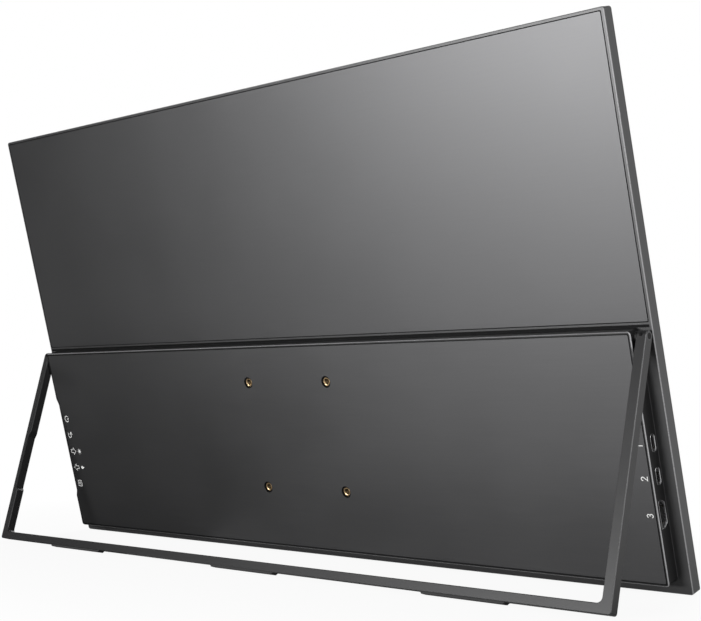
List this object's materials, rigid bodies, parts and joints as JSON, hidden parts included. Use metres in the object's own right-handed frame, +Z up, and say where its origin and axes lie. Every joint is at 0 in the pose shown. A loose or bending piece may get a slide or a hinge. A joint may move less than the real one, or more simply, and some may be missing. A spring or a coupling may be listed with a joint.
{
  "type": "portable monitor",
  "caption": "Thin flat screen with an electronics box across its lower back and a fold-out wire-frame stand hinged at the box's top corners, with side ports and buttons.",
  "frame": {"origin": "under the middle of the object as it stands in use, on the table", "axes": "+Z up, +X to the right as seen by someone in front of the screen, +Y to the back, where the stand is; the screen faces -Y and leans back"},
  "size_m": [0.558, 0.091, 0.3168],
  "materials": {
    "bezel_plastic": "fine matt black",
    "screen_glass": "anti-glare black glass",
    "black_plastic": "matt black",
    "film_white": "white film",
    "light_guide_clear": "clear",
    "tray_steel": "plated sheet",
    "board_green": "solder mask",
    "lamp_white": "lamp package",
    "ribbon_film": "flat ribbon",
    "housing_plastic": "satin dark grey",
    "back_plate": "satin dark grey coating",
    "tape_black": "adhesive film",
    "insert_brass": "turned",
    "shield_tin": "tin plate",
    "port_steel": "plated shell",
    "screw_steel": "dark zinc",
    "hinge_steel": "ground",
    "bush_nylon": "black nylon",
    "stand_metal": "satin dark grey coating",
    "pad_rubber": "matt black",
    "button_plastic": "satin black"
  },
  "bodies": {
    "monitor": {"front_bezel": "bezel_plastic", "lcd_cell": "screen_glass", "panel_middle_frame": "black_plastic", "optical_films": "film_white", "light_guide_plate": "light_guide_clear", "reflector_sheet": "film_white", "panel_tray": "tray_steel", "led_strip": "board_green", "led_packages": "lamp_white", "panel_driver_board": "board_green", "panel_flex_tails": "ribbon_film", "rear_housing": "housing_plastic", "upper_back_plate": "back_plate", "upper_plate_tape": "tape_black", "electronics_cover": "housing_plastic", "lower_back_plate": "back_plate", "lower_plate_tape": "tape_black", "mount_inserts": "insert_brass", "main_board": "board_green", "button_board": "board_green", "board_parts": "black_plastic", "board_shield": "shield_tin", "small_port_upper": "port_steel", "small_port_lower": "port_steel", "wide_port": "port_steel", "port_tongues": "black_plastic", "display_ribbon": "ribbon_film", "button_ribbon": "ribbon_film", "tact_switches": "black_plastic", "board_screws": "screw_steel", "cover_screws": "screw_steel", "hinge_screws": "screw_steel", "hinge_bracket_left": "hinge_steel", "hinge_bush_left": "bush_nylon", "hinge_bracket_right": "hinge_steel", "hinge_bush_right": "bush_nylon"},
    "stand": {"stand_frame": "stand_metal", "stand_set_screws": "screw_steel", "foot_pad_left": "pad_rubber", "foot_pad_middle": "pad_rubber", "foot_pad_right": "pad_rubber", "hinge_shaft_left": "hinge_steel", "hinge_cap_left": "stand_metal", "hinge_shaft_right": "hinge_steel", "hinge_cap_right": "stand_metal"},
    "power_key": {"power_button": "button_plastic"},
    "back_key": {"back_button": "button_plastic"},
    "up_key": {"up_button": "button_plastic"},
    "down_key": {"down_button": "button_plastic"},
    "menu_key": {"menu_button": "button_plastic"}
  },
  "joints": [
    {"name": "stand_hinge", "type": "hinge", "parent": "monitor", "child": "stand", "pos_m": [0, -0.00222, 0.14321], "axis": [1, 0, 0], "range_deg": [-29.75, 60.25]},
    {"name": "power_button_press", "type": "slide", "parent": "monitor", "child": "power_key", "axis": [-1, 0, 0], "range_m": [0, 0.0004], "stiffness_N_per_m": 1500},
    {"name": "back_button_press", "type": "slide", "parent": "monitor", "child": "back_key", "axis": [-1, 0, 0], "range_m": [0, 0.0004], "stiffness_N_per_m": 1500},
    {"name": "up_button_press", "type": "slide", "parent": "monitor", "child": "up_key", "axis": [-1, 0, 0], "range_m": [0, 0.0004], "stiffness_N_per_m": 1500},
    {"name": "down_button_press", "type": "slide", "parent": "monitor", "child": "down_key", "axis": [-1, 0, 0], "range_m": [0, 0.0004], "stiffness_N_per_m": 1500},
    {"name": "menu_button_press", "type": "slide", "parent": "monitor", "child": "menu_key", "axis": [-1, 0, 0], "range_m": [0, 0.0004], "stiffness_N_per_m": 1500}
  ]
}
